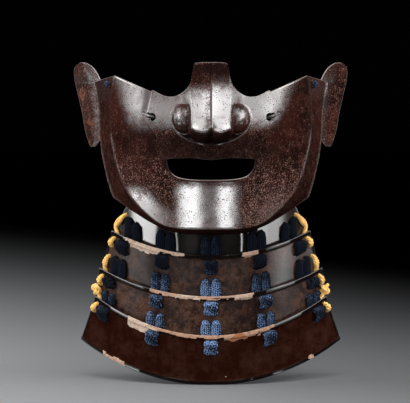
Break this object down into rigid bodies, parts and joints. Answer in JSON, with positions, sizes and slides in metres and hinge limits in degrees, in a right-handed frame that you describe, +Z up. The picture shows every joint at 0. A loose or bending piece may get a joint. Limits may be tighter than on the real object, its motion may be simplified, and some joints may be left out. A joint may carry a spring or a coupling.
{
  "type": "samurai face guard",
  "caption": "Half mask of russet iron with a detachable nose, mouth slot and ear plates, and a throat guard of lacquered lames laced with dark blue braid and yellow edge cord.",
  "frame": {"origin": "chin seat: the spot inside the chin where the wearer's chin rests", "axes": "+Z up, +X to the viewer's right, the face looks along -Y, so +Y points back to the wearer"},
  "size_m": [0.216, 0.1159, 0.2432],
  "materials": {
    "russet_iron": "russet, finely pitted, semi-gloss",
    "hook_wire": "dark bright-worn wire",
    "brown_lacquer": "glossy dark brown lacquer, chipped at the rims",
    "blue_braid": "dark blue silk braid",
    "yellow_cord": "yellow silk cord"
  },
  "bodies": {
    "root": {"main_plate": "russet_iron", "nose_plate": "russet_iron", "ear_left": "russet_iron", "ear_right": "russet_iron", "nose_hook_left": "hook_wire", "nose_hook_right": "hook_wire", "corner_tie_left": "blue_braid", "corner_tie_right": "blue_braid", "lame_1": "brown_lacquer", "lame_2": "brown_lacquer", "lame_3": "brown_lacquer", "lame_4": "brown_lacquer", "lacing_1": "blue_braid", "lacing_2": "blue_braid", "lacing_3": "blue_braid", "lacing_4": "blue_braid", "lacing_5": "blue_braid", "edge_lacing_left": "yellow_cord", "edge_lacing_right": "yellow_cord"}
  },
  "joints": []
}
